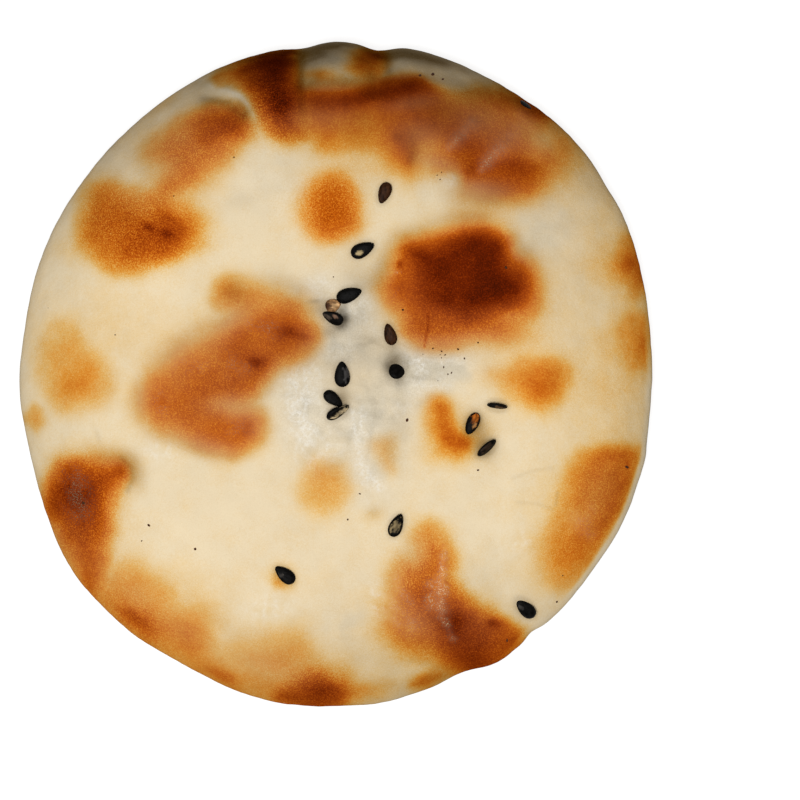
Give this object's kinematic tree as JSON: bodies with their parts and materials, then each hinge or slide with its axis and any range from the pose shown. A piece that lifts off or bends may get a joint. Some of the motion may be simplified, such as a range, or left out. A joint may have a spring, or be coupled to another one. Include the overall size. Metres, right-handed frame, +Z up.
{
  "type": "shaobing",
  "caption": "Round hand-shaped flatbread with a pressed middle, browned blisters, a pleated back edge and black sesame seeds baked into the top.",
  "frame": {"origin": "middle of the flat underside, which rests on the table", "axes": "+Z up through the bread, +Y to the pleated edge, +X to the right as seen from above with the pleats at the back"},
  "size_m": [0.0888, 0.0933, 0.0139],
  "materials": {
    "crust": "baked dough, pale cream with browned blisters, satin",
    "sesame": "black sesame hull, satin"
  },
  "bodies": {
    "root": {"shaobing": "crust"}
  },
  "joints": []
}
